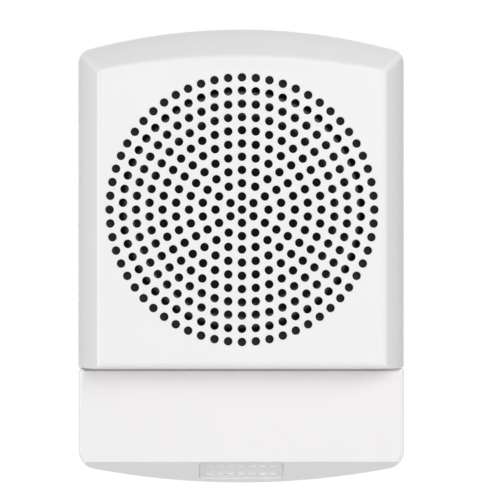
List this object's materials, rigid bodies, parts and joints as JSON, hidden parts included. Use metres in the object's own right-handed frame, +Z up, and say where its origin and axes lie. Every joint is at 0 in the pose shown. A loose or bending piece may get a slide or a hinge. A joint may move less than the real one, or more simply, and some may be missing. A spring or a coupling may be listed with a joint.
{
  "type": "wall alarm siren",
  "caption": "Wall-mounted alarm siren: white moulded head with a round loudspeaker grille and a sloped chin, hooked on a steel wall plate and locked by a screw from below.",
  "frame": {"origin": "on the wall plane, at the centre of the box-screw pattern, which is also the loudspeaker's axis", "axes": "+X to the right, +Z up, +Y into the wall; the grille faces -Y"},
  "size_m": [0.12, 0.0472, 0.167],
  "materials": {
    "white_plastic": "fine satin texture",
    "badge_plastic": "satin",
    "frame_plastic": "satin",
    "galvanised_steel": "galvanised",
    "black_steel": "black paint",
    "zinc_steel": "zinc plated",
    "ferrite": "sintered, matt",
    "black_paper": "pressed paper",
    "black_rubber": "smooth, glossy",
    "grey_foam": "closed-cell foam",
    "spider_cloth": "resin-treated cloth",
    "coil_former": "foil",
    "copper_wire": "enamelled copper",
    "brass": "turned",
    "spring_bronze": "phosphor bronze",
    "terminal_plastic": "satin",
    "board_green": "solder mask",
    "phenolic_brown": "laminate",
    "component_black": "moulded",
    "capacitor_sleeve": "shrink sleeve",
    "core_steel": "laminated",
    "winding_tape": "polyester tape",
    "connector_nylon": "natural nylon",
    "red_insulation": "PVC",
    "black_insulation": "PVC",
    "tinsel_braid": "braided",
    "switch_red": "satin",
    "switch_white": "satin",
    "washer_nylon": "natural nylon"
  },
  "bodies": {
    "wall_plate": {"mounting_plate": "galvanised_steel", "lock_insert": "brass", "terminal_block": "terminal_plastic", "terminal_screws": "zinc_steel", "terminal_clamps": "zinc_steel", "contact_springs": "spring_bronze"},
    "head": {"grille_cover": "white_plastic", "lower_cover": "white_plastic", "name_badge": "badge_plastic", "rear_cover": "frame_plastic", "rear_cover_screws": "zinc_steel", "speaker_gasket": "grey_foam", "speaker_basket": "black_steel", "yoke": "zinc_steel", "ferrite_magnet": "ferrite", "top_plate": "zinc_steel", "spider": "spider_cloth", "surround": "black_rubber", "speaker_screws": "zinc_steel", "lead_terminal_board": "phenolic_brown", "lead_terminal_lugs": "brass", "tinsel_leads": "tinsel_braid", "circuit_board": "board_green", "board_screws": "zinc_steel", "electrolytic_capacitors": "capacitor_sleeve", "transformer_core": "core_steel", "transformer_winding": "winding_tape", "control_chips": "component_black", "chip_resistors": "component_black", "speaker_header": "connector_nylon", "speaker_plug": "connector_nylon", "contact_blades": "brass", "dip_switch": "switch_red", "speaker_lead_red": "red_insulation", "speaker_lead_black": "black_insulation"},
    "cone": {"speaker_cone": "black_paper", "dust_cap": "black_paper", "voice_coil_former": "coil_former", "voice_coil": "copper_wire"},
    "screw_washer": {"retaining_washer": "washer_nylon"},
    "lock_screw": {"lock_screw": "zinc_steel"},
    "switch_1": {"dip_slider_1": "switch_white"},
    "switch_2": {"dip_slider_2": "switch_white"},
    "switch_3": {"dip_slider_3": "switch_white"},
    "switch_4": {"dip_slider_4": "switch_white"}
  },
  "joints": [
    {"name": "head_swing", "type": "hinge", "parent": "wall_plate", "child": "head", "pos_m": [0, -0.005, 0.0595], "axis": [-1, 0, 0], "range_deg": [0, 20]},
    {"name": "cone_travel", "type": "slide", "parent": "head", "child": "cone", "axis": [0, -1, 0], "range_m": [-0.0012, 0.0012], "stiffness_N_per_m": 1250, "deforming": ["surround", "spider", "tinsel_leads"]},
    {"name": "lock_screw_travel", "type": "slide", "parent": "head", "child": "screw_washer", "axis": [0, 0, 1], "range_m": [0, 0.0044]},
    {"name": "lock_screw_turn", "type": "hinge", "parent": "screw_washer", "child": "lock_screw", "pos_m": [0, -0.008, -0.098], "axis": [0, 0, 1], "range_deg": [0, 1998.5]},
    {"name": "switch_1_slide", "type": "slide", "parent": "head", "child": "switch_1", "axis": [0, 0, 1], "range_m": [0, 0.0014]},
    {"name": "switch_2_slide", "type": "slide", "parent": "head", "child": "switch_2", "axis": [0, 0, 1], "range_m": [0, 0.0014]},
    {"name": "switch_3_slide", "type": "slide", "parent": "head", "child": "switch_3", "axis": [0, 0, 1], "range_m": [0, 0.0014]},
    {"name": "switch_4_slide", "type": "slide", "parent": "head", "child": "switch_4", "axis": [0, 0, 1], "range_m": [0, 0.0014]}
  ],
  "couplings": [
    {"joint": "lock_screw_turn", "follows": "lock_screw_travel", "rad_per_m": 7915.3}
  ]
}
